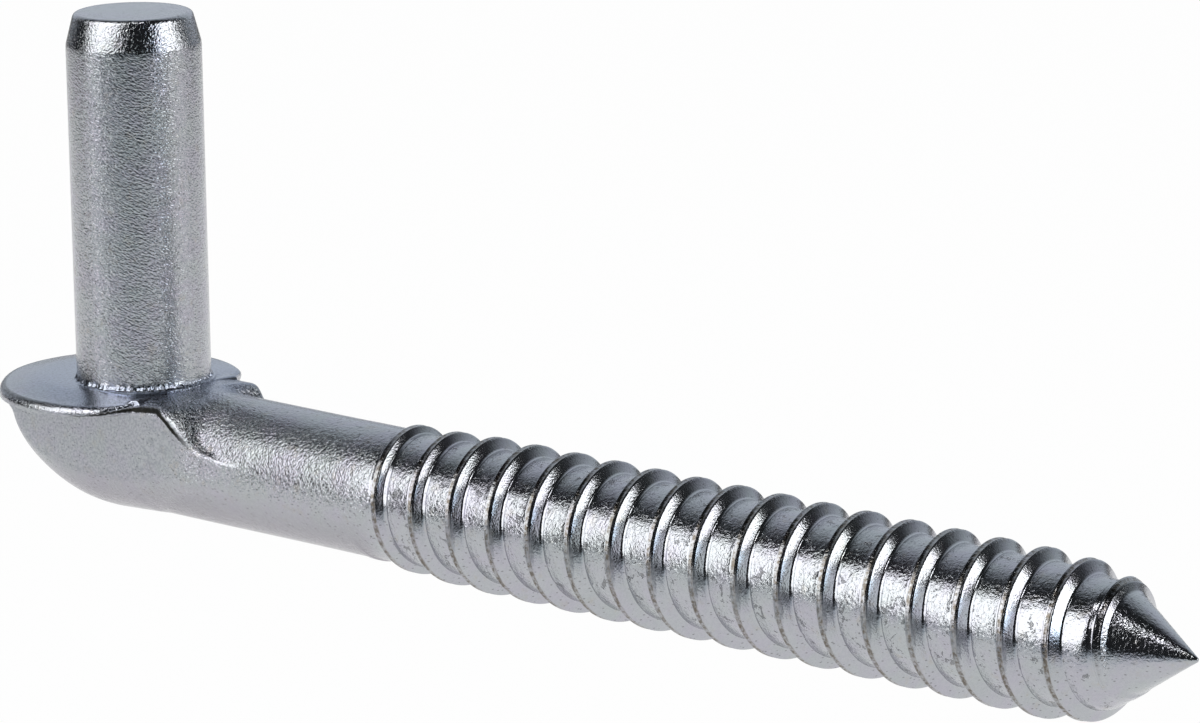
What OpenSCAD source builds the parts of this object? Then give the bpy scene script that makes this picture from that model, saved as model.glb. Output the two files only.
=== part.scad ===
// Gate screw hook: one forged and zinc plated steel piece.
// An upright hinge pin stands on a thin round flange, the flange sits on a boat shaped elbow,
// and the elbow runs into a round shank with a coarse wood thread and a cone point.
// Frame: the origin is where the pin's axis meets the seat of the flange, +Z runs up the pin,
// and +X runs along the screw toward its point. Sizes are in millimetres.

/* [Pin] */
// Diameter of the hinge pin
pin_d = 15.88; // [14:0.02:17]
// Height of the pin above the seat
pin_h = 43.7; // [30:0.1:70]
// Diameter of the pin's flat end
pin_end_d = 14.2; // [13:0.1:15]
// Height of the tapered end of the pin
pin_taper_h = 3.8; // [2:0.1:6]
// Rounding radius round the flat end
pin_round_r = 0.7; // [0.3:0.1:1]
// Reach of the small fillet at the pin's foot
foot_fillet = 0.5; // [0.3:0.1:0.8]

/* [Flange] */
// Diameter of the round flange
flange_d = 29; // [27:0.2:31]
// Distance of the flange's centre behind the pin's axis
flange_back = 3.9; // [3:0.1:4.5]
// Diameter of the flat seat in the middle of the flange
seat_d = 19; // [17:0.5:22]
// Drop of the flange's top from the seat to the rim
flange_drop = 0.7; // [0.3:0.1:1]
// Thickness of the flange at its rim
rim_t = 1.5; // [1.2:0.1:2]
// Thickness of the flange in its middle
flange_t = 3.2; // [2.5:0.1:4]

/* [Elbow] */
// Width of the elbow across its flat sides
elbow_w = 17.4; // [16:0.1:18]
// Distance of the elbow's nose behind the pin's axis
nose_back = 16.4; // [15.5:0.1:17.5]
// Depth of the elbow's keel below the seat
keel_depth = 15.9; // [15.6:0.1:16.5]
// Reach of the shoulder in front of the pin's axis
shoulder_x = 12; // [11:0.1:13]
// Depth of the shoulder's top below the seat
shoulder_drop = 0.05; // [0.05:0.05:0.4]
// Radius of the shoulder's corner seen from the side
shoulder_r = 2.2; // [1.2:0.1:2.4]
// Rounding along the upper edges of the elbow
upper_edge = 1; // [0.8:0.1:2]
// Fullness of the bow under the flange, 1 for a plain ellipse
bow_fullness = 1.12; // [1:0.01:1.3]
// Rounding along the nose of the elbow
nose_edge = 3; // [2.5:0.1:6]
// Distance from the pin's axis to the end of the elbow's flat sides
tail_x = 25; // [22:0.5:28]

/* [Shank] */
// Diameter of the plain shank
shank_d = 15.26; // [14.8:0.02:15.5]
// Extra diameter of the neck next to the elbow
neck_extra = 0.1; // [0:0.05:0.3]
// Depth of the screw's axis below the seat
axis_depth = 7.95; // [7.8:0.01:8.2]
// Distance from the pin's axis to the screw's tip
screw_reach = 149.8; // [140:0.1:160]

/* [Thread] */
// Pitch of the thread
pitch = 5.8; // [5.4:0.02:6.2]
// Diameter over the thread's crests
crest_d = 17.4; // [16.6:0.1:18]
// Diameter of the thread's root
root_d = 14.84; // [14:0.02:15.2]
// Width of a ridge at its foot
ridge_foot_w = 2.3; // [1.8:0.1:3]
// Width of a ridge at its crest
ridge_crest_w = 0.3; // [0.2:0.05:0.6]
// Distance from the pin's axis to the first crest on top of the shank
thread_x = 42.9; // [40:0.1:46]
// Half angle of the cone point
point_angle = 33; // [28:0.5:36]
// Lift of the tip above the screw's axis
tip_lift = 0.5; // [0:0.1:0.8]
// Flat facets round one turn of the thread
facets = 40; // [24:4:48]

/* [Hidden] */
steel = [0.72, 0.74, 0.76];
round_facets = 96;

pin_r = pin_d / 2;
pin_root = 1.5;
flange_r = flange_d / 2;
half_w = elbow_w / 2;
shank_r = shank_d / 2;
root_r = root_d / 2;
ridge_h = (crest_d - root_d) / 2;

// Power that keeps the sign of its base
function signed_pow(v, power) = sign(v) * pow(abs(v), power);

// Points along an elliptical arc; a fullness above 1 swells it toward its corners
function arc(centre, rx, ry, from, to, steps, fullness = 1) =
    [for (i = [0:steps]) let (a = from + (to - from) * i / steps)
        centre + [rx * signed_pow(cos(a), 1 / fullness), ry * signed_pow(sin(a), 1 / fullness)]];

// Value that runs softly from 0 to 1 between two limits
function ramp(v, from, to) = let (t = max(0, min(1, (v - from) / (to - from)))) t * t * (3 - 2 * t);

// Outline of the elbow seen from the side, counterclockwise from the nose.
// Each point holds x, z and the rounding of the edge there.
nose_z = -2.5;
keel_x = -1;
bow_steps = 14;
full_edge_step = 11;
keel_edge = half_w - 1.5;
keel_end = [shoulder_x / 2, 0.35 - keel_depth];
haunch = [shoulder_x + 4, -axis_depth - shank_r * 0.6];
haunch_edge = keel_edge * 0.55;
tail_edge = upper_edge * 0.6;
tail_half_h = 1.5;
tail_inset = 1.2;
seat_overlap = 1;
nose_top = [2 - nose_back, -flange_drop - 0.6];
bow = arc([keel_x, nose_z], nose_back + keel_x, keel_depth + nose_z, 180, 270, bow_steps, bow_fullness);

// The flat sides end in a crease that falls from the shoulder and runs out along the shank
crease_h = 2.44;
crease_x = shoulder_x + 5.6;
crease_slope = 0.14;
crease_fall = 4.3;
fall_from = shoulder_x - 4;
fall_to = shoulder_x + 4.4;
crease_steps = 7;
corner_x = shoulder_x - 2.1;
corner_steps = 3;

// Height of the crease, with the edge rounding added, at a distance from the pin's axis
function crease_z(x) = upper_edge - axis_depth + crease_h - crease_slope * (x - crease_x)
    + crease_fall * (1 - ramp(x, fall_from, fall_to));

corner = arc([corner_x, -shoulder_drop - shoulder_r], shoulder_r, shoulder_r, 45, 90, corner_steps);
crease_start = shoulder_x + 0.6;
crease = [for (i = [crease_steps:-1:0])
    let (x = crease_start + (tail_x - 1 - crease_start) * pow(i / crease_steps, 1.5))
    [x + upper_edge * (1 - i / crease_steps) / 3, crease_z(x)]];
outline = [
    for (i = [0:bow_steps])
        [bow[i][0], bow[i][1], nose_edge + (keel_edge - nose_edge) * ramp(i, 0, full_edge_step)],
    [keel_end[0], keel_end[1], keel_edge],
    [haunch[0], haunch[1], haunch_edge],
    [tail_x, -axis_depth - tail_half_h, tail_edge],
    [tail_x, -axis_depth + tail_half_h, tail_edge],
    for (q = crease) [q[0], q[1], upper_edge],
    for (q = corner) [q[0], q[1], upper_edge],
    [pin_r - seat_overlap, -shoulder_drop, upper_edge],
    [nose_top[0], nose_top[1], upper_edge],
];

// Half width of the elbow: full at the shoulder, and narrower toward its tail
function elbow_half_w(x) =
    half_w - (half_w - shank_r + tail_inset) * ramp(x, shoulder_x - 2, tail_x);

// Unit vector that points into the outline at one of its points
function inward(pts, i) =
    let (n = len(pts),
         a = pts[(i + n - 1) % n],
         b = pts[(i + 1) % n],
         d = [b[0] - a[0], b[1] - a[1]])
    [-d[1], d[0]] / norm(d);

edge_steps = 10;
flat_middle = [keel_x, -axis_depth * 0.7];

// One ring of the elbow's skin, the outline drawn in by its edge rounding toward each flat side
function elbow_ring(turn) =
    [for (i = [0:len(outline) - 1])
        let (p = outline[i], n = inward(outline, i), inset = p[2] * (1 - cos(turn)))
        [p[0] + n[0] * inset, elbow_half_w(p[0]) * sin(turn), p[1] + n[1] * inset]];

module elbow() {
    n = len(outline);
    rings = [for (j = [0:edge_steps]) elbow_ring(-90 + 180 * j / edge_steps)];
    skin = [for (j = [0:edge_steps - 1], i = [0:n - 1], half = [0, 1])
        let (a = j * n + i, b = j * n + (i + 1) % n)
        half == 0 ? [a, b, b + n] : [a, b + n, a + n]];
    near = edge_steps * n + n;
    caps = [for (i = [0:n - 1], side = [0, 1])
        let (a = side * edge_steps * n + i, b = side * edge_steps * n + (i + 1) % n)
        side == 0 ? [near, b, a] : [near + 1, a, b]];
    polyhedron(
        points = concat([for (r = rings, p = r) p],
            [for (side = [-half_w, half_w]) [flat_middle[0], side, flat_middle[1]]]),
        faces = concat(skin, caps));
}

rim_steps = 6;

// Thin round flange with a flat seat, a slightly falling top and a rounded rim
module flange() {
    rim_r = rim_t / 2;
    rim = arc([flange_r - rim_r, -flange_drop - rim_r], rim_r, rim_r, 90, -90, rim_steps);
    translate([-flange_back, 0, 0])
        rotate_extrude($fn = round_facets)
            polygon(concat([[0, 0], [seat_d / 2, 0]], rim, [[seat_d / 2, -flange_t], [0, -flange_t]]));
}

// The taper meets the rounded end a little above the rounding's widest point
crown_from = 10;
crown_steps = 4;
foot_steps = 3;

// Hinge pin with its tapered and rounded end, and the small fillet at its foot
module pin() {
    end_r = pin_end_d / 2;
    taper_z = pin_h - pin_taper_h;
    crown_centre = [end_r - pin_round_r, pin_h - pin_round_r];
    crown = arc(crown_centre, pin_round_r, pin_round_r, crown_from, 90, crown_steps);
    foot = arc([pin_r + foot_fillet, foot_fillet], foot_fillet, foot_fillet, 270, 180, foot_steps);
    rotate_extrude($fn = round_facets)
        polygon(concat([[0, -pin_root], [pin_r + foot_fillet, -pin_root]], foot,
            [[pin_r, taper_z]], crown, [[0, pin_h]]));
}

// Turns of the thread, counted from its first crest on top of the shank
lead_in = 0.75;
grow_turns = 2.2;
fade_turns = 1.4;
first_rise = 0.62;
point_gap = 4.24;
last_turn = (screw_reach - point_gap - thread_x) / pitch;
full_turns = last_turn - fade_turns;
low_turn = last_turn - 0.6;
low_rise = 0.45;
crowd_turn = last_turn - 2.7;
crowding = 0.28;

// The shank narrows to the thread's root, and the root narrows before the cone
root_start = 3;
shank_end = thread_x - 6.4;
core_step = 0.04;
root_taper_x = screw_reach - 17;
root_taper_l = 8;
root_taper = 0.9;
lift_from = screw_reach - 14;
lift_to = screw_reach + 4;
ridge_rows = 4;
lines = [-ridge_foot_w / 2, -ridge_crest_w / 2, ridge_crest_w / 2, ridge_foot_w / 2];
heights = [0, 1, 1, 0];

// Place along the screw after a number of turns; the last turns crowd together
function turn_x(t) = thread_x + pitch * t - crowding * pow(max(0, t - crowd_turn), 2);

// Radius of the shank, the thread's root and the cone along the screw
function core_r(x) =
    let (start_r = shank_r - core_step,
         body = start_r - (start_r - root_r) * ramp(x, shank_end, thread_x + root_start),
         taper = root_taper * max(0, min(1, (x - root_taper_x) / root_taper_l)))
    min(body - taper, (screw_reach - x) * tan(point_angle));

// Height of the ridge, which grows out of the shank and dies away on the cone
function ridge(t) =
    let (grown = first_rise * ramp(t, -lead_in, 0) + (1 - first_rise) * ramp(t, 0, grow_turns),
         faded = (1 - low_rise) * ramp(t, full_turns, low_turn))
    ridge_h * grown * (1 - faded) * (1 - ramp(t, low_turn, last_turn));

// Height of the screw's axis, which drifts up toward the tip
function axis_z(x) = -axis_depth + tip_lift * ramp(x, lift_from, lift_to);

function screw_point(t, x, r) = [x, -r * sin(360 * t), axis_z(x) + r * cos(360 * t)];

segments = round((last_turn + lead_in) * facets);

// Point of the thread's skin: column u counts facets along the thread, row v crosses the ridge
function thread_point(u, v) =
    let (t = -lead_in + u / facets, x = turn_x(t) + lines[v])
    screw_point(t, x, core_r(x) + ridge(t) * heights[v]);

// Index of a point of the thread's skin; a fifth row is the first row one turn later
foot_points = segments + facets + 1;
function thread_index(u, v) =
    v == ridge_rows ? u + facets : v == 0 ? u : foot_points + (v - 1) * (segments + 1) + u;

core_overlap = 2;
plain_rings = [shank_end - core_overlap, turn_x(-lead_in) - pitch / 2];

// Plain shank from inside the elbow to the thread, a little thicker at its neck
module shank() {
    neck_r = shank_r + neck_extra / 2;
    translate([0, 0, -axis_depth])
        rotate([0, 90, 0])
            rotate_extrude($fn = round_facets)
                polygon([[0, core_overlap], [neck_r, core_overlap], [neck_r, shoulder_x],
                    [shank_r, shank_end - core_overlap], [shank_r, shank_end], [0, shank_end]]);
}

// Thread and cone point as one closed skin that follows the ridge and starts inside the shank
module screw() {
    thread = concat(
        [for (u = [0:foot_points - 1]) thread_point(u, 0)],
        [for (v = [1:ridge_rows - 1], u = [0:segments]) thread_point(u, v)]);
    first_ring = len(thread);
    rings = [for (x = plain_rings, i = [0:facets - 1])
        screw_point(-lead_in + i / facets, x, core_r(x))];
    back = first_ring + len(rings);
    tip = back + 1;
    last_ring = back - facets;
    function ring_index(k, i) = first_ring + k * facets + i % facets;
    strip = [for (u = [0:segments - 1], v = [0:ridge_rows - 1], half = [0, 1])
        let (a = thread_index(u, v), b = thread_index(u + 1, v),
             c = thread_index(u + 1, v + 1), d = thread_index(u, v + 1))
        half == 0 ? [a, c, b] : [a, d, c]];
    plain = [for (k = [0:len(plain_rings) - 2], i = [0:facets - 1], half = [0, 1])
        let (a = ring_index(k, i), b = ring_index(k, i + 1),
             c = ring_index(k + 1, i + 1), d = ring_index(k + 1, i))
        half == 0 ? [a, c, b] : [a, d, c]];
    closed_end = [for (i = [0:facets - 1]) [back, ring_index(0, i), ring_index(0, i + 1)]];
    // The plain shank meets the thread's first turn, which starts with a straight cross line
    run_in = [for (i = [0:facets - 2], half = [0, 1])
        half == 0 ? [last_ring + i, i + 1, last_ring + i + 1] : [last_ring + i, i, i + 1]];
    start = facets - 1;
    start_line = concat([last_ring + start, last_ring],
        [for (v = [0:ridge_rows]) thread_index(0, v)]);
    start_fan = [for (i = [0:len(start_line) - 2]) [start, start_line[i + 1], start_line[i]]];
    // The cone meets the last turn in the same way
    cone = [for (i = [1:facets - 1]) [segments + i, tip, segments + i + 1]];
    end_line = concat([for (v = [0:ridge_rows]) thread_index(segments, v)], [tip]);
    end_fan = [for (i = [0:len(end_line) - 2]) [segments + 1, end_line[i], end_line[i + 1]]];
    polyhedron(
        points = concat(thread, rings,
            [[plain_rings[0], 0, -axis_depth], [screw_reach, 0, -axis_depth + tip_lift]]),
        faces = concat(strip, plain, closed_end, run_in, start_fan, cone, end_fan));
}

module screw_hook() {
    color(steel)
        union() {
            pin();
            flange();
            elbow();
            shank();
            screw();
        }
}

screw_hook();
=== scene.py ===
"""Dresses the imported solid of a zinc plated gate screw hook.

One forged and rolled piece of steel: an upright hinge pin on a round flange, a boat shaped elbow,
and a round shank with a coarse wood thread and a cone point. Shapes are built in millimetres in
the row's frame, with the origin where the pin's axis meets the seat, +Z up the pin and +X along
the screw, and are brought to metres when they become objects.
"""

import logging
import math
import random
from dataclasses import dataclass, field
from enum import Enum
from typing import Callable, Iterable, Optional, Sequence, Union

import bmesh
import bpy
from mathutils import Matrix, Quaternion, Vector


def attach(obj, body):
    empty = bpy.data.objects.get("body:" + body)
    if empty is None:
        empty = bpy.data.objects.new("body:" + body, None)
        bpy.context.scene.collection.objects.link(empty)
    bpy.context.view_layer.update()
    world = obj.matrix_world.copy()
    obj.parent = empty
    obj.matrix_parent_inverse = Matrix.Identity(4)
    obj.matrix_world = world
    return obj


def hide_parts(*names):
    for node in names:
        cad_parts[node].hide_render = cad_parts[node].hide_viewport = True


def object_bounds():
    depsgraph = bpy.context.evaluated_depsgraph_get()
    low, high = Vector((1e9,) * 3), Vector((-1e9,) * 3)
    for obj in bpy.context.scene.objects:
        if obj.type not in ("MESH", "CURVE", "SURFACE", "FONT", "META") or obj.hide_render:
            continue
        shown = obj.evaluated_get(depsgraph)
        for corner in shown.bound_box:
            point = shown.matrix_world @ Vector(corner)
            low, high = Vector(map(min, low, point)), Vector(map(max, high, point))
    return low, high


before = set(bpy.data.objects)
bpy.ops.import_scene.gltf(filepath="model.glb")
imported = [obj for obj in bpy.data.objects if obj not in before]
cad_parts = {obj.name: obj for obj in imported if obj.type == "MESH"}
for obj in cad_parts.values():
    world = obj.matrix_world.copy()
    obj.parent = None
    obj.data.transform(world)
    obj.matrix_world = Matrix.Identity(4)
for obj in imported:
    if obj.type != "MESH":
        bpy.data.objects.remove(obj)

CAD_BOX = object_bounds()
MM = 0.001
FULL_TURN = 2 * math.pi
WELD = 0.002

log = logging.getLogger("screw_hook")

Point = tuple[float, float]
Socket = bpy.types.NodeSocket


# ---------------------------------------------------------------- shared shaping helpers


class Join(Enum):
    """How one closed shell is joined to another."""

    UNION = "UNION"
    CUT = "DIFFERENCE"


class Side(Enum):
    """The two flat sides of the elbow, by the sign of their Y."""

    NEAR = -1
    FAR = 1


def ramp(value: float, start: float, end: float) -> float:
    """Value that runs softly from 0 to 1 between two limits.

    Args:
        value: The place on the scale.
        start: The limit where the result is 0.
        end: The limit where the result is 1.

    Returns:
        A number from 0 to 1.
    """
    t = max(0.0, min(1.0, (value - start) / (end - start)))
    return t * t * (3 - 2 * t)


def between(value: float, table: Sequence[Point]) -> float:
    """Reads a smooth curve through a few table entries.

    Args:
        value: The place on the first column.
        table: Pairs of place and result, in rising order.

    Returns:
        The result at that place, held at the ends of the table.
    """
    if value <= table[0][0]:
        return table[0][1]
    for (a, low), (b, high) in zip(table, table[1:]):
        if value <= b:
            return low + (high - low) * ramp(value, a, b)
    return table[-1][1]


def arc(centre: Point, rx: float, ry: float, start: float, end: float, steps: int, fullness: float = 1.0) -> list[Point]:
    """Points along an elliptical arc.

    Args:
        centre: Centre of the ellipse.
        rx: Half axis along the first direction.
        ry: Half axis along the second direction.
        start: First angle in degrees.
        end: Last angle in degrees.
        steps: Number of steps between the two.
        fullness: Above 1 it swells the arc toward its corners.

    Returns:
        The points in order.
    """
    points = []
    for i in range(steps + 1):
        angle = math.radians(start + (end - start) * i / steps)
        c, s = math.cos(angle), math.sin(angle)
        c = math.copysign(abs(c) ** (1 / fullness), c)
        s = math.copysign(abs(s) ** (1 / fullness), s)
        points.append((centre[0] + rx * c, centre[1] + ry * s))
    return points


def chain(bm: bmesh.types.BMesh, places: Iterable[Vector], closed: bool = False) -> list[bmesh.types.BMEdge]:
    """Draws a line of edges.

    Args:
        bm: The mesh to draw in.
        places: The points of the line.
        closed: Whether the last point joins the first.

    Returns:
        The edges of the line.
    """
    verts = [bm.verts.new(p) for p in places]
    pairs = list(zip(verts, verts[1:]))
    if closed:
        pairs.append((verts[-1], verts[0]))
    return [bm.edges.new(p) for p in pairs]


def lathe(profile: Sequence[Point], axis: Vector, along: Vector, centre: Vector, steps: int) -> bmesh.types.BMesh:
    """Spins a profile round an axis into a closed shell.

    Args:
        profile: Pairs of radius and place along the axis.
        axis: Direction of the axis.
        along: Direction in which the profile's radius is drawn.
        centre: A point on the axis where the place along it is 0.
        steps: Number of facets round the turn.

    Returns:
        The spun shell.
    """
    bm = bmesh.new()
    edges = chain(bm, (centre + along * r + axis * h for r, h in profile))
    bmesh.ops.spin(
        bm, geom=bm.verts[:] + edges, cent=centre, axis=axis, angle=FULL_TURN, steps=steps, use_merge=True
    )
    return closed_shell(bm)


def closed_shell(bm: bmesh.types.BMesh) -> bmesh.types.BMesh:
    """Merges doubles, closes open loops and turns the faces outwards."""
    bmesh.ops.remove_doubles(bm, verts=bm.verts, dist=WELD)
    bmesh.ops.holes_fill(bm, edges=[e for e in bm.edges if e.is_boundary], sides=0)
    bmesh.ops.recalc_face_normals(bm, faces=bm.faces)
    return bm


def as_object(bm: bmesh.types.BMesh, name: str) -> bpy.types.Object:
    """Makes an object of a mesh that is still in millimetres.

    Args:
        bm: The mesh, which is freed.
        name: Name of the object.

    Returns:
        The linked object.
    """
    mesh = bpy.data.meshes.new(name)
    bm.to_mesh(mesh)
    bm.free()
    obj = bpy.data.objects.new(name, mesh)
    bpy.context.scene.collection.objects.link(obj)
    return obj


def apply_modifiers(obj: bpy.types.Object) -> None:
    """Replaces an object's mesh by what its modifiers make of it."""
    bpy.context.view_layer.update()
    graph = bpy.context.evaluated_depsgraph_get()
    made = bpy.data.meshes.new_from_object(obj.evaluated_get(graph))
    old = obj.data
    obj.modifiers.clear()
    obj.data = made
    bpy.data.meshes.remove(old)


def join_shells(base: bpy.types.Object, tool: bpy.types.Object, how: Join) -> None:
    """Joins one closed shell to another and removes the second.

    Args:
        base: The object that keeps the result.
        tool: The object that is joined to it.
        how: Union or cut.
    """
    modifier = base.modifiers.new("join", "BOOLEAN")
    modifier.operation = how.value
    modifier.solver = "MANIFOLD"
    modifier.object = tool
    apply_modifiers(base)
    bpy.data.objects.remove(tool)


# ---------------------------------------------------------------- the hook's sub-assemblies


@dataclass
class HingePin:
    """The upright round pin that carries the gate's strap."""

    diameter: float = 15.88
    height: float = 43.7
    end_diameter: float = 14.2
    taper_height: float = 3.8
    end_round: float = 0.7
    foot_fillet: float = 0.5
    root_depth: float = 7.95
    facets: int = 240
    tick_height: float = 0.6
    tick_reach: float = 0.12

    def profile(self) -> list[Point]:
        """Outline of the pin from its root to the middle of its flat end.

        Returns:
            Pairs of radius and height.
        """
        r, end_r = self.diameter / 2, self.end_diameter / 2
        taper_z = self.height - self.taper_height
        foot = arc((r + self.foot_fillet, self.foot_fillet), self.foot_fillet, self.foot_fillet, 270, 180, 5)
        shaft = [(r, z) for z in (0.7, 0.95, 1.3, 2, 4, 12, 22, 32)]
        shoulder = [(r, taper_z - 0.5), (r - 0.015, taper_z - 0.1), (r - 0.06, taper_z + 0.25)]
        crown = arc(
            (end_r - self.end_round, self.height - self.end_round), self.end_round, self.end_round, 12, 90, 6
        )
        return [(0, -self.root_depth), (r + self.foot_fillet, -self.root_depth), *foot, *shaft, *shoulder, *crown, (0, self.height)]

    def build(self) -> bpy.types.Object:
        """Spins the pin and presses the fine tooth marks into its foot.

        Returns:
            The pin as a closed shell.
        """
        up, out = Vector((0, 0, 1)), Vector((1, 0, 0))
        bm = lathe(self.profile(), up, out, Vector((0, 0, 0)), self.facets)
        marks = random.Random(7)
        teeth = [marks.uniform(-1, 1) for _ in range(self.facets)]
        for v in bm.verts:
            if 0.05 < v.co.z < self.tick_height:
                slot = round(math.atan2(v.co.y, v.co.x) / FULL_TURN * self.facets) % self.facets
                out_by = 1 + self.tick_reach * teeth[slot] / (self.diameter / 2)
                v.co.x *= out_by
                v.co.y *= out_by
        return as_object(bm, "pin_shell")


@dataclass
class Flange:
    """The thin round flange, cut straight where the shoulder laps against it."""

    diameter: float = 29.0
    back: float = 3.9
    seat_diameter: float = 19.0
    drop: float = 0.7
    rim_thickness: float = 1.5
    thickness: float = 3.2
    facets: int = 256
    seam_x: float = 7.5
    seam_level: float = -0.2
    seam_crown: float = 0.0035
    lap_y: float = 8.1
    worn_reach: float = 1.0
    worn_fall: float = 1.35
    worn_edge: float = 0.15
    worn_slope: float = 0.4

    def profile(self) -> list[Point]:
        """Outline of the flange from its axis over the rim to its underside.

        Returns:
            Pairs of radius and height.
        """
        r, seat_r, rim_r = self.diameter / 2, self.seat_diameter / 2, self.rim_thickness / 2
        rim = arc((r - rim_r, -self.drop - rim_r), rim_r, rim_r, 90, -90, 12)
        top = [(seat_r + (r - rim_r - seat_r) * k, -self.drop * k ** 1.1) for k in (0.15, 0.3, 0.5, 0.65, 0.8)]
        return [(0, 0), (seat_r, 0), *top, *rim, (seat_r, -self.thickness), (0, -self.thickness)]

    def build(self) -> bpy.types.Object:
        """Spins the flange and draws its rim in to the straight seam.

        Returns:
            The flange as a closed shell.
        """
        centre = Vector((-self.back, 0, 0))
        bm = lathe(self.profile(), Vector((0, 0, 1)), Vector((1, 0, 0)), centre, self.facets)
        seat_r, r, rim_r = self.seat_diameter / 2, self.diameter / 2, self.rim_thickness / 2
        for v in bm.verts:
            out = Vector((v.co.x - centre.x, v.co.y, 0))
            if out.length < seat_r + WELD:
                continue
            angle = math.atan2(out.y, out.x)
            reach, height = self.rounded_near_rim(out.length, v.co.z, math.degrees(angle))
            if out.x > 0:
                chord = (self.seam_x + self.back) / math.cos(angle)
                reach += min(0.0, chord - r) * (reach - seat_r) / (r - seat_r)
            x, y = centre.x + reach * math.cos(angle), reach * math.sin(angle)
            if abs(y) > self.lap_y:
                y = math.copysign(self.lap_y + (abs(y) - self.lap_y) * ramp(self.seam_x - x, 0.0, 3.2), y)
            lapped = ramp(x, 3.0, 6.3)
            level = (self.seam_level - self.seam_crown * y * y) * lapped - 9 * (1 - lapped)
            if v.co.z > -self.drop - WELD:
                height = max(height, level)
            elif v.co.z > -self.drop - rim_r:
                top = self.rounded_near_rim(r - rim_r, -self.drop, math.degrees(angle))[1]
                height += max(0.0, level - top) * (v.co.z + self.drop + rim_r) / rim_r
            v.co = (x, y, height)
        return as_object(bm, "flange_shell")

    def rounded_near_rim(self, reach: float, height: float, angle: float) -> Point:
        """Turns the round rim into the rounded-over rim of the near side.

        Args:
            reach: Distance from the flange's centre.
            height: Height of the point.
            angle: Its direction in degrees.

        Returns:
            The new distance and height.
        """
        rim_r = self.rim_thickness / 2
        turn = math.atan2(height + self.drop + rim_r, reach - self.diameter / 2 + rim_r)
        worn = ramp(angle, -168, -128) * (1 - ramp(angle, -38, -25))
        if worn == 0:
            return reach, height
        if reach < self.diameter / 2 - rim_r - WELD:
            return reach, height * (1 + self.worn_slope * worn)
        fall = self.worn_fall - 0.3 * ramp(angle, -62, -40)
        start = (self.diameter / 2 - self.worn_reach - self.seat_diameter / 2)
        level = (start / (self.diameter / 2 - rim_r - self.seat_diameter / 2)) ** 1.1 * (1 + self.worn_slope)
        brow = fall + self.drop * (1 - level)
        across, down = (self.worn_reach, brow) if turn > 0 else (self.worn_edge, self.worn_edge)
        new_reach = self.diameter / 2 - across + across * math.cos(turn)
        new_height = -self.drop - fall + down * math.sin(turn)
        return reach + (new_reach - reach) * worn, height + (new_height - height) * worn


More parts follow.
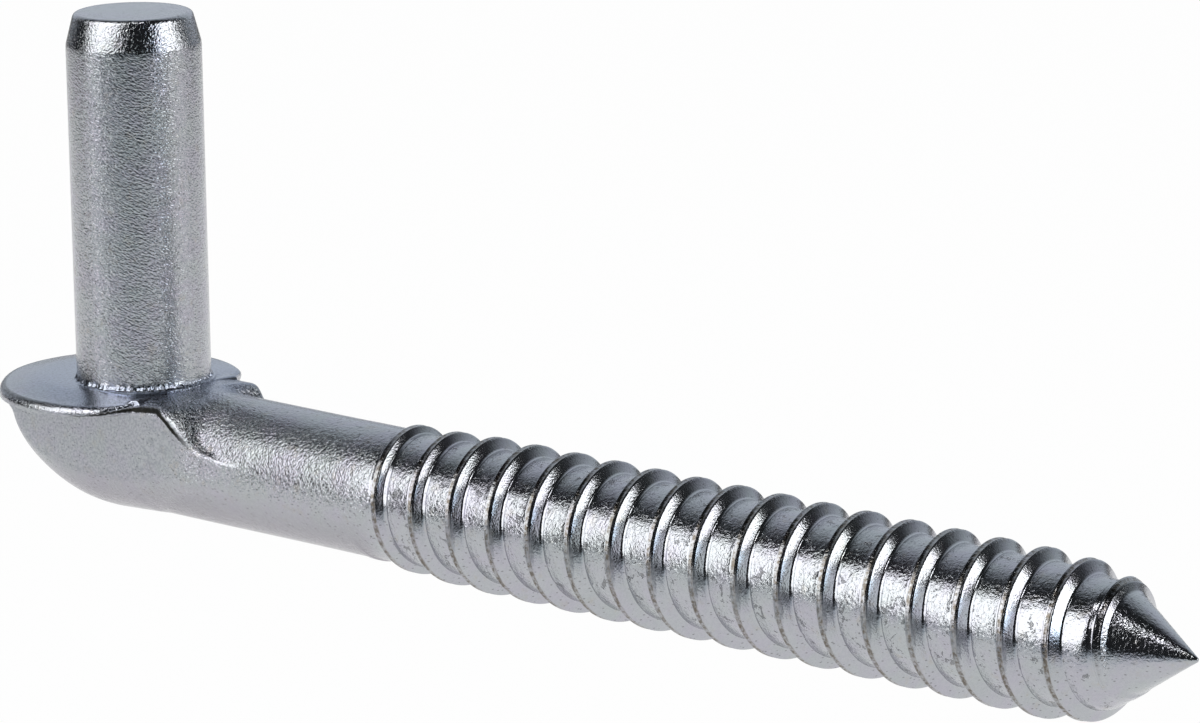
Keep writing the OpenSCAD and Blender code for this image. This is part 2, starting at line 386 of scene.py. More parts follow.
@dataclass
class Elbow:
    """The forged elbow under the flange, with the start of the shank."""

    width: float = 17.4
    nose_back: float = 16.4
    nose_depth: float = 2.5
    keel_depth: float = 15.9
    keel_x: float = -1.0
    shoulder_x: float = 12.0
    shoulder_drop: float = 0.16
    bow_fullness: float = 1.12
    nose_edge: float = 3.0
    upper_edge: float = 1.2
    tail_x: float = 25.0
    axis_depth: float = 7.95
    shank_radius: float = 7.63
    neck_extra: float = 0.05
    stub_end: float = 38.0
    cut_x: float = 35.0
    shelf_slope: float = 0.35
    lip: float = 1.0
    bevel_slope: float = 1.7
    neck_blend: float = 0.4
    seam_lift: float = 0.6
    near_crown: float = 0.0035
    far_crown: float = 0.001
    far_shift: float = 1.0
    far_bevel: float = 7.55
    near_fill: tuple[float, float] = (12.0, 17.5)
    far_fill: tuple[float, float] = (8.8, 12.0)
    press_steps: int = 9
    grain: float = 0.28
    edge_steps: int = 28

    def outline(self) -> list[tuple[float, float, float]]:
        """Outline seen from the side, with the edge rounding at each point.

        Returns:
            Points of x, z and rounding, counterclockwise from the nose.
        """
        steps = 40
        half = self.width / 2
        keel_edge = half - 1.5
        bow = arc(
            (self.keel_x, -self.nose_depth), self.nose_back + self.keel_x,
            self.keel_depth - self.nose_depth, 180, 270, steps, self.bow_fullness
        )
        edge_at = [self.nose_edge + (keel_edge - self.nose_edge) * ramp(i, 0, steps - 8) for i in range(steps + 1)]
        tail_z = -self.axis_depth
        return [
            *((x, z, e) for (x, z), e in zip(bow, edge_at)),
            (self.shoulder_x / 2, -self.keel_depth + 0.35, keel_edge),
            (self.shoulder_x + 4, tail_z - self.shank_radius * 0.6, keel_edge * 0.55),
            (self.tail_x, tail_z - 1.5, self.upper_edge * 0.6),
            (self.tail_x, tail_z + 1.5, self.upper_edge * 0.6),
            (self.tail_x - 3, tail_z + 5.5, self.upper_edge * 0.6),
            (self.tail_x - 6, -1.5, self.upper_edge),
            (self.shoulder_x, -self.shoulder_drop, self.upper_edge),
            (6.9, -self.shoulder_drop, self.upper_edge),
            (-self.nose_back + 2, -1.3, self.upper_edge),
        ]

    def half_width(self, x: float) -> float:
        """Half width of the flat sides, narrower toward the tail."""
        full = self.width / 2
        return full - (full - self.shank_radius + 0.2) * ramp(x, self.shoulder_x - 2, self.tail_x)

    def forged_body(self) -> bmesh.types.BMesh:
        """Extrudes the outline from one side to the other, drawn in along its edges.

        Returns:
            The elbow without its shank.
        """
        points = self.outline()
        count = len(points)
        inward = []
        for i in range(count):
            a, b = points[i - 1], points[(i + 1) % count]
            across = Vector((-(b[1] - a[1]), b[0] - a[0]))
            inward.append(across.normalized())

        def place(i: int, turn: float) -> Vector:
            """Point i of the outline at one angle round the edge."""
            x, z, edge = points[i]
            inset = edge * (1 - math.cos(turn))
            return Vector(
                (x + inward[i].x * inset, self.half_width(x) * math.sin(turn), z + inward[i].y * inset)
            )

        bm = bmesh.new()
        edges = chain(bm, (place(i, -math.pi / 2) for i in range(count)), closed=True)
        bmesh.ops.contextual_create(bm, geom=edges)
        for j in range(1, self.edge_steps + 1):
            made = bmesh.ops.extrude_edge_only(bm, edges=edges)["geom"]
            verts = [g for g in made if isinstance(g, bmesh.types.BMVert)]
            edges = [g for g in made if isinstance(g, bmesh.types.BMEdge)]
            bm.verts.index_update()
            verts.sort(key=lambda v: v.index)
            turn = -math.pi / 2 + math.pi * j / self.edge_steps
            for i, v in enumerate(verts):
                v.co = place(i, turn)
        bmesh.ops.contextual_create(bm, geom=edges)
        bmesh.ops.triangulate(bm, faces=bm.faces)
        return closed_shell(bm)

    def build(self) -> bpy.types.Object:
        """Melts the elbow and its shank together as a forging does.

        Returns:
            The elbow as a closed shell, cut off square inside the plain shank.
        """
        body = as_object(self.forged_body(), "elbow_shell")
        neck = [
            (0, 2), (self.shank_radius + self.neck_extra, 2),
            *((self.shank_radius + self.neck_extra * (1 - ramp(x, self.shoulder_x, 34)), x) for x in range(4, 39, 2)),
            (0, self.stub_end),
        ]
        stub = as_object(
            lathe(neck, Vector((1, 0, 0)), Vector((0, 0, 1)), Vector((0, 0, -self.axis_depth)), 160), "stub_shell"
        )
        join_shells(body, stub, Join.UNION)
        remesh = body.modifiers.new("forge", "REMESH")
        remesh.mode = "VOXEL"
        remesh.voxel_size = self.grain
        remesh.adaptivity = 0.0
        apply_modifiers(body)
        bm = bmesh.new()
        bm.from_mesh(body.data)
        self.relax(bm, 7)
        self.press_neck(bm)
        self.relax(bm, 2)
        bmesh.ops.bisect_plane(
            bm, geom=bm.verts[:] + bm.edges[:] + bm.faces[:], plane_co=(self.cut_x, 0, 0),
            plane_no=(1, 0, 0), clear_outer=True, dist=WELD
        )
        closed_shell(bm)
        bm.to_mesh(body.data)
        bm.free()
        return body

    def relax(self, bm: bmesh.types.BMesh, times: int) -> None:
        """Softens the skin a number of times, as forging and tumbling do."""
        for _ in range(times):
            bmesh.ops.smooth_vert(
                bm, verts=bm.verts, factor=0.5, use_axis_x=True, use_axis_y=True, use_axis_z=True
            )

    def crease_height(self, x: float, near: bool) -> float:
        """Height above the shank's axis at which a flat side ends.

        Args:
            x: Place along the shank.
            near: Whether it is the near side, which has a band of painted shade under its edge.

        Returns:
            The height.
        """
        if not near:
            x += self.far_shift
        lift = self.seam_lift * (1 - ramp(x, self.shoulder_x + 1.5, self.shoulder_x + 5.5)) if near else 0.0
        runout = 2.44 - 0.14 * (x - 17.6)
        return runout + lift + 4.3 * (1 - ramp(x, self.shoulder_x - 4, self.shoulder_x + 4.4))

    def top_height(self, x: float, y: float) -> float:
        """Height of the elbow's top above the shank's axis.

        Args:
            x: Place along the shank.
            y: Distance from the middle plane.

        Returns:
            The height of the shoulder, its bevelled edge, the crease or the round neck.
        """
        near = y < 0
        in_by = self.half_width(x) - abs(y)
        neck_r = self.shank_radius + self.neck_extra
        neck = math.sqrt(max(0.0, neck_r * neck_r - y * y))
        crease = self.crease_height(x, near)
        ledge = self.shelf_slope * min(in_by, self.lip) - 0.3 * max(0.0, in_by - self.lip)
        roundness = max(0.0, 1 - (abs(y) / self.half_width(x)) ** 3) ** 0.6
        rise = max(0.0, self.axis_depth - 0.35 - crease) * roundness
        shelf = crease + max(ledge, rise * (1 - ramp(x, *(self.near_fill if near else self.far_fill))))
        gap = neck - shelf
        low = (neck + shelf + math.sqrt(gap * gap + self.neck_blend * self.neck_blend)) / 2
        flat = self.axis_depth - self.shoulder_drop - (self.near_crown if near else self.far_crown) * y * y
        edge = 6.46 + self.seam_lift + 0.115 * (x - 9.64) if near else self.far_bevel
        high = min(flat, edge + self.bevel_slope * in_by)
        return low + max(0.0, high - low) * (1 - ramp(x, self.shoulder_x - 3.4, self.shoulder_x - 0.2))

    def press_neck(self, bm: bmesh.types.BMesh) -> None:
        """Presses the upper corners behind the shoulder into the round shank."""
        for v in bm.verts:
            x, y, height = v.co.x, v.co.y, v.co.z + self.axis_depth
            if height < 1 or x > self.tail_x + 3 or height < self.top_height(x, y):
                continue
            inside, outside = 0.5, 1.0
            for _ in range(self.press_steps):
                middle = (inside + outside) / 2
                if height * middle < self.top_height(x, y * middle):
                    inside = middle
                else:
                    outside = middle
            v.co.y *= inside
            v.co.z = height * inside - self.axis_depth


@dataclass
class Screw:
    """The rolled end: plain shank, coarse thread and cone point."""

    axis_depth: float = 7.95
    shank_radius: float = 7.63
    root_radius: float = 7.42
    ridge_height: float = 1.28
    pitch: float = 5.8
    first_crest_x: float = 42.9
    reach: float = 149.8
    point_angle: float = 33.0
    tip_lift: float = 0.5
    lead_in: float = 0.75
    fade_in: float = 2.2
    full_turns: float = 16.3
    last_turn: float = 17.7
    crowd_turn: float = 15.0
    crowding: float = 0.28
    start_x: float = 31.0
    facets: int = 120
    ridge: tuple[Point, ...] = (
        (-1.5, -0.4), (-1.22, 0.0), (-1.04, 0.05), (-0.95, 0.15), (-0.48, 0.86), (-0.42, 0.95), (-0.35, 1.0),
        (-0.17, 0.95), (0.0, 0.92), (0.17, 0.95), (0.35, 1.0), (0.42, 0.95), (0.48, 0.86), (0.95, 0.15),
        (1.04, 0.05), (1.22, 0.0), (1.5, -0.4)
    )

    def turn_x(self, turn: float) -> float:
        """Place of the crest along the screw after a number of turns; the last turns crowd."""
        late = max(0.0, turn - self.crowd_turn)
        return self.first_crest_x + self.pitch * turn - self.crowding * late * late

    def core_radius(self, x: float) -> float:
        """Radius of the shank, the thread's root and the cone along the screw.

        Args:
            x: Place along the screw.

        Returns:
            The radius there.
        """
        body = self.shank_radius - (self.shank_radius - self.root_radius) * ramp(
            x, self.first_crest_x - 4, self.first_crest_x + 3
        )
        entry = 0.12 * (1 - ramp(x, self.start_x, self.start_x + 3.5))
        taper = 0.9 * max(0.0, min(1.0, (x - self.reach + 17) / 8))
        return min(body - entry - taper, (self.reach - x) * math.tan(math.radians(self.point_angle)) + 0.12)

    def axis_z(self, x: float) -> float:
        """Height of the screw's axis, which drifts up toward the tip."""
        return -self.axis_depth + self.tip_lift * ramp(x, self.reach - 14, self.reach + 4)

    def ridge_rise(self, turn: float) -> float:
        """Height of the ridge, which grows out of the shank and dies away on the cone."""
        grow = 0.62 * ramp(turn, -self.lead_in, 0) + 0.38 * ramp(turn, 0, self.fade_in)
        fade = (1 - 0.55 * ramp(turn, self.full_turns, 17.2)) * (1 - ramp(turn, 17.1, self.last_turn))
        return self.ridge_height * grow * fade

    def core(self) -> bpy.types.Object:
        """Spins the shank, root and cone.

        Returns:
            The core as a closed shell.
        """
        places = [self.start_x + i for i in range(int(self.reach - 17 - self.start_x))]
        places += [self.reach - 17 + 0.4 * i for i in range(int(16.8 / 0.4))] + [self.reach - 0.15]
        profile = [(0, places[0])] + [(self.core_radius(x), x) for x in places] + [(0, self.reach)]
        bm = lathe(profile, Vector((1, 0, 0)), Vector((0, 0, 1)), Vector((0, 0, 0)), self.facets)
        for v in bm.verts:
            v.co.z += self.axis_z(v.co.x)
        return as_object(bm, "core_shell")

    def thread(self) -> bpy.types.Object:
        """Spins the ridge's section along its helix and fits it to the core.

        Returns:
            The ridge as a closed shell that starts and ends inside the core.
        """
        last_step = round((self.last_turn + self.lead_in) * self.facets)
        bm = bmesh.new()
        for first in range(0, last_step, self.facets):
            stretch = self.ridge_stretch(first, min(first + self.facets, last_step))
            bm.from_mesh(stretch)
            bpy.data.meshes.remove(stretch)
        return as_object(closed_shell(bm), "ridge_shell")

    def ridge_stretch(self, first: int, last: int) -> bpy.types.Mesh:
        """Spins the ridge's section over one stretch of its helix.

        Args:
            first: First facet along the thread.
            last: Last facet of the stretch.

        Returns:
            The open stretch of the ridge.
        """
        rows = len(self.ridge)
        bm = bmesh.new()
        edges = chain(bm, (Vector((x, 0, self.root_radius + h)) for x, h in self.ridge), closed=True)
        bmesh.ops.spin(
            bm, geom=bm.verts[:] + edges, cent=(0, 0, 0), axis=(1, 0, 0),
            angle=FULL_TURN * (last - first) / self.facets * 0.999, steps=last - first,
            dvec=(self.pitch / self.facets, 0, 0)
        )
        for index, v in enumerate(bm.verts):
            step, row = divmod(index, rows)
            turn = (first + step) / self.facets - self.lead_in
            offset, height = self.ridge[row]
            rise = self.ridge_rise(turn)
            spread = max(0.35, rise / self.ridge_height)
            half_crest = min(abs(offset), 0.35)
            x = self.turn_x(turn) + math.copysign(half_crest + (abs(offset) - half_crest) * spread, offset)
            r = self.core_radius(x) + (rise * height if height > 0 else height)
            r -= 0.03 * (1 - ramp(rise, 0, 0.1))
            angle = FULL_TURN * turn
            v.co = Vector((x, -r * math.sin(angle), self.axis_z(x) + r * math.cos(angle)))
        mesh = bpy.data.meshes.new("ridge_stretch")
        bm.to_mesh(mesh)
        bm.free()
        return mesh

    def build(self) -> bpy.types.Object:
        """Joins the ridge to the core.

        Returns:
            The screw as a closed shell.
        """
        core = self.core()
        join_shells(core, self.thread(), Join.UNION)
        return core


# ---------------------------------------------------------------- shader building


class Value:
    """A number socket that takes part in Python arithmetic."""

    def __init__(self, graph: "Graph", socket: Socket) -> None:
        """Wraps a socket of a graph."""
        self.graph = graph
        self.socket = socket

    def _math(self, operation: str, *others: Union["Value", float]) -> "Value":
        """Adds a Math node on this value and others."""
        return self.graph.value("ShaderNodeMath", {"operation": operation}, *([self, *others]))

    def __add__(self, other: Union["Value", float]) -> "Value":
        """Sum."""
        return self._math("ADD", other)

    __radd__ = __add__

    def __sub__(self, other: Union["Value", float]) -> "Value":
        """Difference."""
        return self._math("SUBTRACT", other)

    def __rsub__(self, other: float) -> "Value":
        """Difference from a plain number."""
        return self.graph.value("ShaderNodeMath", {"operation": "SUBTRACT"}, other, self)

    def __mul__(self, other: Union["Value", float]) -> "Value":
        """Product."""
        return self._math("MULTIPLY", other)

    __rmul__ = __mul__

    def __truediv__(self, other: Union["Value", float]) -> "Value":
        """Quotient."""
        return self._math("DIVIDE", other)

    def __pow__(self, other: float) -> "Value":
        """Power."""
        return self._math("POWER", other)

    def __abs__(self) -> "Value":
        """Absolute value."""
        return self._math("ABSOLUTE")

    def band(self, start: float, end: float) -> "Value":
        """Soft step from 0 at start to 1 at end."""
        return self.graph.value(
            "ShaderNodeMapRange", {"interpolation_type": "SMOOTHSTEP"}, self,
            **{"From Min": start, "From Max": end}
        )

    def fract(self) -> "Value":
        """Part after the decimal point."""
        return self._math("FRACT")


class Graph:
    """Node graph of one material."""

    def __init__(self, name: str) -> None:
        """Starts an empty material with the given name."""
        self.material = bpy.data.materials.new(name)
        self.material.use_nodes = True
        self.tree = self.material.node_tree
        self.tree.nodes.clear()

    def node(self, kind: str, settings: Optional[dict] = None, *ordered, **named) -> bpy.types.Node:
        """Adds a node.

        Args:
            kind: Type of the node.
            settings: Properties that are set before any socket.
            ordered: Values or links of the first sockets.
            named: Values or links of sockets by name.

        Returns:
            The new node.
        """
        made = self.tree.nodes.new(kind)
        for key, setting in (settings or {}).items():
            setattr(made, key, setting)
        targets = [(made.inputs[i], v) for i, v in enumerate(ordered)]
        targets += [(made.inputs[k], v) for k, v in named.items()]
        for socket, v in targets:
            if isinstance(v, Value):
                v = v.socket
            if isinstance(v, bpy.types.NodeSocket):
                self.tree.links.new(v, socket)
            else:
                socket.default_value = v
        return made

    def value(self, kind: str, settings: Optional[dict] = None, *ordered, **named) -> Value:
        """Adds a node and wraps its first output as a number."""
        return Value(self, self.node(kind, settings, *ordered, **named).outputs[0])

    def mix(self, factor: Union[Value, float], a, b) -> Socket:
        """Mixes two colours.

        Args:
            factor: 0 for the first colour and 1 for the second.
            a: First colour, as a socket or as numbers.
            b: Second colour.

        Returns:
            The mixed colour.
        """
        made = self.node("ShaderNodeMix", {"data_type": "RGBA"})
        for index, v in ((0, factor), (6, a), (7, b)):
            if isinstance(v, Value):
                v = v.socket
            if isinstance(v, bpy.types.NodeSocket):
                self.tree.links.new(v, made.inputs[index])
            elif index:
                made.inputs[index].default_value = (*v, 1.0)
            else:
                made.inputs[index].default_value = v
        return made.outputs[2]

    def noise(self, vector: Socket, scale: float, detail: float = 2.0, rough: float = 0.5, distortion: float = 0.0) -> Value:
        """Noise on a vector.

        Args:
            vector: The coordinates.
            scale: Grains per unit.
            detail: Octaves.
            rough: Share of the finer octaves.
            distortion: Amount of warping.

        Returns:
            The noise from 0 to 1.
        """
        return self.value(
            "ShaderNodeTexNoise", {}, Vector=vector, Scale=scale, Detail=detail, Roughness=rough,
            Distortion=distortion
        )


@dataclass(frozen=True)
class ZincPlate:
    """Bright zinc over forged and rolled steel."""

    name: str = "zinc_plate"
    tone: tuple[float, float, float] = (0.45, 0.465, 0.487)
    lilac: tuple[float, float, float] = (0.45, 0.445, 0.495)
    green: tuple[float, float, float] = (0.425, 0.46, 0.455)
    tan: tuple[float, float, float] = (0.40, 0.36, 0.29)
    rust: tuple[float, float, float] = (0.13, 0.11, 0.085)
    # Bluish grey of the painted reflection of the pin in the flange's top.
    painted_pin_reflection: tuple[float, float, float] = (0.40, 0.44, 0.54)
    # Darker greyish tone of the painted shade low on the elbow and shank.
    painted_low_shade: tuple[float, float, float] = (0.325, 0.312, 0.342)
    shade: tuple[float, float, float] = (0.26, 0.28, 0.31)
    # Dark of the specks and dents; also the painted shade on the flange's near rim.
    grime_and_painted_shade: tuple[float, float, float] = (0.10, 0.10, 0.10)
    # Near-black of the painted shade in the crease under the near flange and shoulder.
    seam_shade_tone: tuple[float, float, float] = (0.025, 0.025, 0.022)
    roughness: float = 0.13

    def build(self, pin: HingePin, flange: Flange, elbow: Elbow, screw: Screw) -> bpy.types.Material:
        """Builds the finish with its zones laid out by the hook's own sizes.

        Args:
            pin: The hinge pin.
            flange: The flange.
            elbow: The elbow.
            screw: The screw.

        Returns:
            The material.
        """
        g = Graph(self.name)
        place = g.node("ShaderNodeTexCoord").outputs["Object"]
        mm = g.node("ShaderNodeVectorMath", {"operation": "SCALE"}, place, Scale=1 / MM).outputs[0]
        split = g.node("ShaderNodeSeparateXYZ", {}, mm)
        x, y, z = (Value(g, s) for s in split.outputs)

        upright = z.band(0.3, 0.9)
        taper_z = pin.height - pin.taper_height
        taper = z.band(taper_z - 0.1, taper_z + 0.25)
        shaft = upright * (1 - taper)
        behind_seam = 1 - x.band(flange.seam_x - 0.1, flange.seam_x + 0.1)
        seat = z.band(-1.1, -0.7) * (1 - z.band(0.1, 0.3)) * behind_seam
        side = abs(y).band(8.2, 8.55) * (1 - z.band(-2.2, -1.5))
        phase = self.thread_phase(g, x, y, z, screw)
        threaded = x.band(screw.first_crest_x - 3.0, screw.first_crest_x + 1.0)
        tip = x.band(screw.reach - 9.3, screw.reach - 7.8)
        crest = (threaded - tip) * (1 - abs(phase).band(0.04, 0.075))
        root = (threaded - tip) * abs(phase).band(0.22, 0.26)
        flank = (threaded - tip) * abs(phase).band(0.06, 0.1) * (1 - abs(phase).band(0.19, 0.22))
        # Painted shade: the crease under the near flange and shoulder is darkened; the same mask sinks the bump and
        # roughens it.
        seam = self.painted_seam_shade(g, mm, x, y, z, elbow)

        across = x * 0.762 + y * 0.648
        deep = x * -0.648 + y * 0.762
        slanted = g.node(
            "ShaderNodeCombineXYZ", {}, across * 3.0, deep * 3.0, (z + across * 0.42) * 4.6
        ).outputs[0]
        wrinkle = g.noise(slanted, 1.0, 1.0, 0.5, 0.4)
        grain = g.noise(mm, 2.5, 2.0, 0.65, 0.7)
        fine = g.noise(mm, 4.6, 1.0, 0.5, 0.3)
        cloud = g.noise(mm, 0.32, 3.0, 0.6)
        patch = g.noise(mm, 0.19, 2.0, 0.55)
        warm = g.noise(mm, 0.55, 3.0, 0.65)
        dents = g.noise(mm, 0.62, 4.0, 0.72, 0.6).band(0.60, 0.635) * root

        neck = (1 - upright) * (1 - threaded) * (1 - seat) * (1 - side)
        ledge = neck * x.band(7.0, 9.0) * (1 - x.band(16.0, 20.0))
        height = wrinkle * (shaft * 0.066)
        height = height + grain * (neck * 0.1 + ledge * 0.07 + taper * 0.06 + root * 0.06 + crest * 0.05 + side * 0.015 + tip * 0.055)
        height = height + fine * (taper * 0.03 + neck * 0.02 + flank * 0.01 + seat * 0.012 + side * 0.012 + 0.006)
        height = height - dents * 0.07 - seam * 0.07
        bump = g.node("ShaderNodeBump", {}, Strength=1.0, Distance=MM, Height=height)

        dashes = g.node("ShaderNodeCombineXYZ", {}, x + z * 0.5, y, z * 1.9).outputs[0]
        specks = self.specks(g, dashes, 2.0, 0.3)
        # Painted shade: a dark band along the rounded near rim of the flange, where the rim's reflection is dark.
        rim_reach = (x + flange.back) * (x + flange.back) + y * y
        rounded_near_rim = rim_reach.band(182, 190) * z.band(-1.4, -1.1) * (1 - upright) * (1 - x.band(-2.5, 1.0))
        # Painted reflection: the flange's top round the pin's foot is tinted bluish grey, as if mirroring the pin.
        round_pin = x * x + y * y
        pin_reflection_area = z.band(-1.6, -0.9) * (1 - upright) * (1 - round_pin.band(110, 260))
        # Painted shade: the elbow and plain shank get darker toward the bottom, where the floor's reflection would
        # light them.
        low_shade_area = (1 - z.band(-14.5, -7.5)) * (1 - threaded)
        mottle = g.noise(mm, 3.1, 2.0, 0.7).band(0.4, 0.62)
        burr = g.noise(mm, 1.7, 2.0, 0.7).band(0.38, 0.62)
        tint = g.mix(cloud.band(0.38, 0.66), self.tone, self.lilac)
        tint = g.mix(patch.band(0.46, 0.68) * 0.5, tint, self.green)
        tint = g.mix(warm.band(0.56, 0.74) * 0.3, tint, self.tan)
        tint = g.mix(pin_reflection_area * 0.7, tint, self.painted_pin_reflection)
        tint = g.mix(low_shade_area * 0.95, tint, self.painted_low_shade)
        tint = g.mix(crest * (0.3 + burr * 0.65), tint, self.rust)
        tint = g.mix(rounded_near_rim * (0.6 + burr * 0.3), tint, self.grime_and_painted_shade)
        tint = g.mix(mottle * (side * 0.5 + shaft * 0.2 + seat * 0.3 + 0.12), tint, self.shade)
        tint = g.mix(dents * 0.55, tint, self.grime_and_painted_shade)
        tint = g.mix(seam, tint, self.seam_shade_tone)
        tint = g.mix(specks * (1 - seat * 0.5) * 0.55, tint, self.grime_and_painted_shade)

        rough = self.roughness + side * 0.18 + shaft * 0.03 + cloud * 0.04 + seat * 0.08 + seam * 0.3 - taper * 0.02
        surface = g.node(
            "ShaderNodeBsdfPrincipled", {}, **{
                "Base Color": tint, "Metallic": 1.0, "Roughness": rough, "Normal": bump.outputs[0],
            }
        )
        g.node("ShaderNodeOutputMaterial", {}, surface.outputs[0])
        return g.material

    def painted_seam_shade(self, g: Graph, mm: Socket, x: Value, y: Value, z: Value, elbow: Elbow) -> Value:
        """Painted shade: the dark band in the crease between the near flat side and the flange and shoulder above it.

        Args:
            g: The graph.
            mm: The coordinates in millimetres.
            x: Place along the screw.
            y: Place across it.
            z: Height.
            elbow: The elbow.

        Returns:
            1 in the painted shade of the crease.
        """
        fall = 1 - x.band(elbow.shoulder_x - 4, elbow.shoulder_x + 4.4)
        crease = 2.44 - (x - 17.6) * 0.14 + fall * 4.3
        edge = 6.56 + (x - 9.64) * 0.09
        gap = crease - edge
        line = (crease + edge - (gap * gap + 0.35) ** 0.5) * 0.5 - elbow.axis_depth
        above = z - line + (g.noise(mm, 2.6, 2.0, 0.6) - 0.5) * 0.55
        width = 0.12 + x.band(2.5, 8.5) * 0.5
        return (
            above.band(-0.1, 0.1) * (1 - (above / width).band(0.75, 1.25)) * (y * -1).band(7.4, 8.2)
            * x.band(0.5, 3.0) * (1 - x.band(13.0, 16.5))
        )

    def thread_phase(self, g: Graph, x: Value, y: Value, z: Value, screw: Screw) -> Value:
        """Place across the thread, from -0.5 to 0.5 with 0 on the crest.

        Args:
            g: The graph.
            x: Place along the screw.
            y: Place across it.
            z: Height.
            screw: The screw.

        Returns:
            The phase.
        """
        angle = g.value("ShaderNodeMath", {"operation": "ARCTAN2"}, y * -1, z + screw.axis_depth)
        even = (x - screw.first_crest_x) / screw.pitch
        turn = even
        for _ in range(2):
            late = turn._math("MAXIMUM", screw.crowd_turn) - screw.crowd_turn
            turn = even + late * late * (screw.crowding / screw.pitch)
        return (turn - angle * (1 / FULL_TURN) + 0.5).fract() - 0.5

    def specks(self, g: Graph, vector: Socket, scale: float, size: float) -> Value:
        """Sparse dark dots.

        Args:
            g: The graph.
            vector: The coordinates.
            scale: Cells per unit.
            size: Radius of a dot as a share of a cell.

        Returns:
            1 in the dots.
        """
        cells = g.node("ShaderNodeTexVoronoi", {}, Vector=vector, Scale=scale)
        draw = g.node("ShaderNodeSeparateColor", {}, cells.outputs["Color"])
        dot = 1 - Value(g, cells.outputs["Distance"]).band(size * 0.6, size * 1.3)
        return dot * Value(g, draw.outputs[0]).band(0.78, 0.83)


# ---------------------------------------------------------------- studio


@dataclass(frozen=True)
class SoftBox:
    """One rectangular studio lamp that faces the hook."""

    name: str
    azimuth: float
    elevation: float
    distance: float
    width: float
    height: float
    watts: float
    roll: float = 0.0
    colour: tuple[float, float, float] = (1.0, 1.0, 1.0)

    def place(self, target: Vector) -> None:
        """Hangs the lamp.

        Args:
            target: The point that it faces.
        """
        azimuth, elevation = math.radians(self.azimuth), math.radians(self.elevation)
        out = Vector((math.cos(azimuth) * math.cos(elevation), math.sin(azimuth) * math.cos(elevation), math.sin(elevation)))
        data = bpy.data.lights.new(self.name, "AREA")
        data.shape = "RECTANGLE"
        data.size, data.size_y = self.width, self.height
        data.energy = self.watts
        data.color = self.colour
        lamp = bpy.data.objects.new(self.name, data)
        bpy.context.scene.collection.objects.link(lamp)
        lamp.location = target + out * self.distance
        aim = (-out).to_track_quat("-Z", "Y") @ Quaternion((0, 0, 1), math.radians(self.roll))
        lamp.rotation_euler = aim.to_euler()
        lamp.visible_camera = False


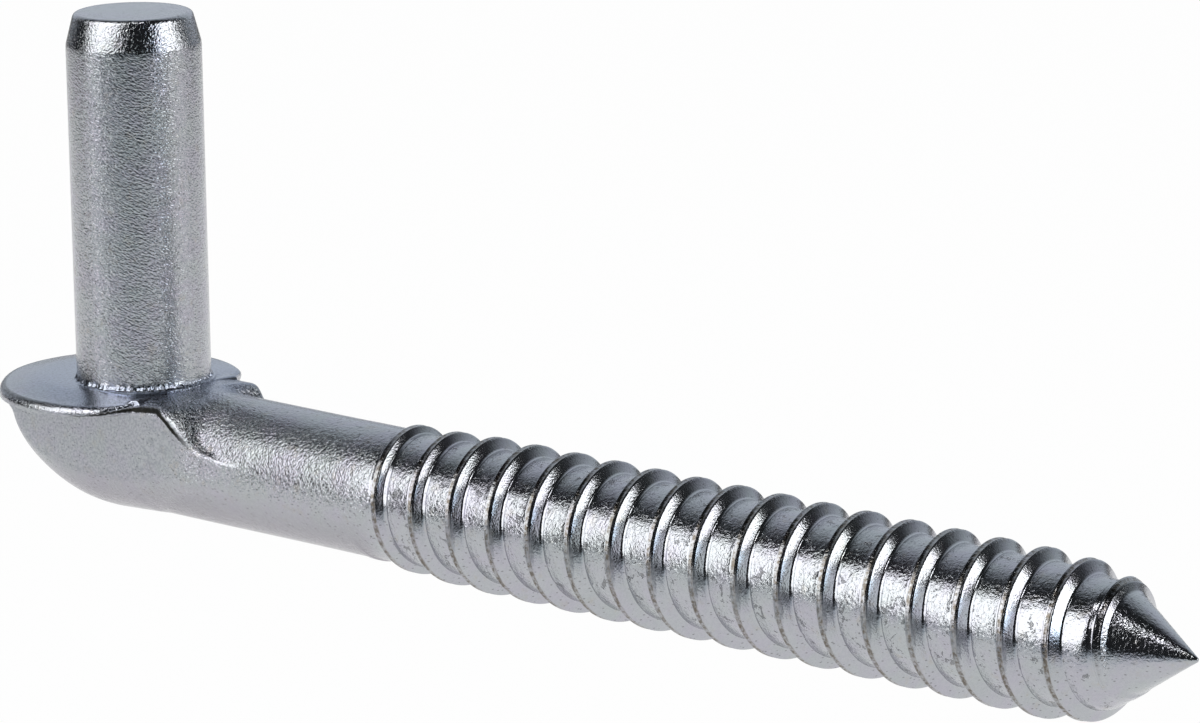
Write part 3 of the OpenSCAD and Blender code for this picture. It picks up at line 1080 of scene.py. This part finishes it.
@dataclass
class Studio:
    """Pale floor, dark room, soft boxes and the camera."""

    floor_z: float = -0.075
    floor_size: float = 12.0
    boxes: tuple[SoftBox, ...] = (
        SoftBox("left_box", -109.9, 30.0, 1.6, 1.65, 1.59, 19.5, 22.8),
        SoftBox("right_box", 22.0, 18.0, 1.8, 0.95, 0.7, 7.0),
        SoftBox("low_box", 43.0, 3.5, 1.8, 0.86, 0.28, 1.5),
        SoftBox("sky_box", 5.0, 12.0, 1.8, 0.4, 0.36, 1.5, 0.0, (0.72, 0.86, 1.0)),
        SoftBox("lap_box", -78.0, 42.0, 1.6, 0.6, 0.5, 2.0),
        SoftBox("top_box", -33.0, 68.0, 1.6, 0.22, 0.5, 2.0),
    )
    camera_place: tuple[float, float, float] = (0.4323, -0.4227, 0.1433)
    camera_right: tuple[float, float, float] = (0.76180, 0.64772, -0.01109)
    camera_down: tuple[float, float, float] = (0.14064, -0.18207, -0.97319)
    camera_forward: tuple[float, float, float] = (-0.63236, 0.73981, -0.22979)
    focal_px: float = 5229.1
    photo_width: float = 1200.0

    def set_camera(self) -> None:
        """Stands the camera where the photograph was taken from."""
        data = bpy.data.cameras.new("photo_camera")
        data.sensor_fit = "HORIZONTAL"
        data.sensor_width = 36.0
        data.lens = self.focal_px / self.photo_width * data.sensor_width
        data.clip_start = 0.01
        camera = bpy.data.objects.new("photo_camera", data)
        bpy.context.scene.collection.objects.link(camera)
        right, down, forward = (Vector(v) for v in (self.camera_right, self.camera_down, self.camera_forward))
        turn = Matrix((right, -down, -forward)).transposed()
        camera.matrix_world = Matrix.Translation(self.camera_place) @ turn.to_4x4()
        bpy.context.scene.camera = camera

    def set_floor(self) -> None:
        """Lays the pale floor, which shows as white and keeps a faint shadow; in reflections its glow is painted: it
        dims away from the middle and toward one side, where it turns bluish.
        """
        bm = bmesh.new()
        bmesh.ops.create_grid(bm, x_segments=1, y_segments=1, size=self.floor_size / 2)
        bmesh.ops.translate(bm, verts=bm.verts, vec=(0, 0, self.floor_z))
        floor = as_object(bm, "floor")
        g = Graph("floor_paper")
        path = g.node("ShaderNodeLightPath")
        seen = Value(g, path.outputs["Is Camera Ray"]) + Value(g, path.outputs["Is Glossy Ray"])
        paper = g.node("ShaderNodeBsdfDiffuse", {}, Color=(0.86, 0.86, 0.87, 1))
        place = g.node("ShaderNodeSeparateXYZ", {}, g.node("ShaderNodeTexCoord").outputs["Object"])
        across, along = (Value(g, s) for s in place.outputs[:2])
        # Painted light in the floor's reflected glow: in glossy rays it dims away from the middle and toward one
        # side, and turns bluish there.
        toward = (across * 0.44 - along * 0.9).band(0.1, 0.6)
        away = (across * across + along * along).band(0.36, 1.3)
        painted_reflection_falloff = Value(g, path.outputs["Is Glossy Ray"]) * (1 - (1 - toward * 0.38) * (1 - away * 0.9))
        painted_reflection_tint = g.mix(Value(g, path.outputs["Is Glossy Ray"]) * toward, (1, 1, 1), (0.82, 0.92, 1.0))
        white = g.node("ShaderNodeEmission", {}, Color=painted_reflection_tint, Strength=1.0 - painted_reflection_falloff)
        both = g.node("ShaderNodeMixShader", {}, seen * 0.98, paper.outputs[0], white.outputs[0])
        g.node("ShaderNodeOutputMaterial", {}, both.outputs[0])
        floor.data.materials.append(g.material)

    def set_room(self) -> None:
        """Fills the room round the floor: white to the camera, dim and grey in reflections."""
        world = bpy.data.worlds.new("room")
        bpy.context.scene.world = world
        world.use_nodes = True
        tree = world.node_tree
        tree.nodes.clear()
        out = tree.nodes.new("ShaderNodeOutputWorld")
        mix = tree.nodes.new("ShaderNodeMixShader")
        path = tree.nodes.new("ShaderNodeLightPath")
        white = tree.nodes.new("ShaderNodeBackground")
        room = tree.nodes.new("ShaderNodeBackground")
        coord = tree.nodes.new("ShaderNodeTexCoord")
        toward = tree.nodes.new("ShaderNodeVectorMath")
        toward.operation = "DOT_PRODUCT"
        toward.inputs[1].default_value = (-0.565, 0.807, 0.174)
        shade = tree.nodes.new("ShaderNodeMapRange")
        shade.interpolation_type = "SMOOTHSTEP"
        shade.inputs["From Min"].default_value = 0.36
        shade.inputs["From Max"].default_value = 0.91
        shade.inputs["To Min"].default_value = 0.02
        shade.inputs["To Max"].default_value = 0.74
        tree.links.new(coord.outputs["Generated"], toward.inputs[0])
        tree.links.new(toward.outputs["Value"], shade.inputs["Value"])
        tree.links.new(shade.outputs[0], room.inputs["Strength"])
        tree.links.new(path.outputs["Is Camera Ray"], mix.inputs[0])
        tree.links.new(room.outputs[0], mix.inputs[1])
        tree.links.new(white.outputs[0], mix.inputs[2])
        tree.links.new(mix.outputs[0], out.inputs[0])
        white.inputs["Color"].default_value = (1, 1, 1, 1)
        room.inputs["Color"].default_value = (0.84, 0.91, 1.0, 1)

    def build(self) -> None:
        """Sets the floor, room, lamps and camera."""
        bpy.context.scene.view_settings.view_transform = "Standard"
        self.set_floor()
        self.set_room()
        middle = (Vector(CAD_BOX[0]) + Vector(CAD_BOX[1])) / 2
        for box in self.boxes:
            box.place(middle)
        self.set_camera()


# ---------------------------------------------------------------- assembly


@dataclass
class ScrewHook:
    """The whole hook, one piece of steel."""

    pin: HingePin = field(default_factory=HingePin)
    flange: Flange = field(default_factory=Flange)
    elbow: Elbow = field(default_factory=Elbow)
    screw: Screw = field(default_factory=Screw)
    finish: ZincPlate = field(default_factory=ZincPlate)
    sharp_angle: float = 40.0

    def build(self) -> bpy.types.Object:
        """Builds every form, joins them into one skin and dresses it.

        Returns:
            The finished piece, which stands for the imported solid.
        """
        skin = self.elbow.build()
        log.info("elbow: %d faces", len(skin.data.polygons))
        for part in (self.flange, self.pin, self.screw):
            shell = part.build()
            log.info("%s: %d faces", type(part).__name__, len(shell.data.polygons))
            join_shells(skin, shell, Join.UNION)
        bm = bmesh.new()
        bm.from_mesh(skin.data)
        bmesh.ops.remove_doubles(bm, verts=bm.verts, dist=WELD)
        bmesh.ops.dissolve_degenerate(bm, edges=bm.edges, dist=WELD)
        bmesh.ops.triangulate(bm, faces=[f for f in bm.faces if len(f.verts) > 4])
        bmesh.ops.scale(bm, verts=bm.verts, vec=(MM, MM, MM))
        bmesh.ops.delete(bm, geom=[e for e in bm.edges if not e.link_faces], context="EDGES")
        open_edges = sum(1 for e in bm.edges if len(e.link_faces) != 2)
        bm.to_mesh(skin.data)
        bm.free()
        skin.name = "screw_hook_skin"
        skin.data.shade_smooth()
        skin.data.set_sharp_from_angle(angle=math.radians(self.sharp_angle))
        skin.data.materials.clear()
        skin.data.materials.append(self.finish.build(self.pin, self.flange, self.elbow, self.screw))
        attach(skin, "root")
        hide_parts("screw_hook")
        log.info("screw_hook_skin: %d faces, %d open edges", len(skin.data.polygons), open_edges)
        return skin


def main() -> None:
    """Builds the studio and the hook."""
    logging.basicConfig(level=logging.INFO, format="%(relativeCreated)d %(name)s: %(message)s")
    Studio().build()
    ScrewHook().build()
    bpy.context.view_layer.update()


if __name__ == "__main__":
    main()
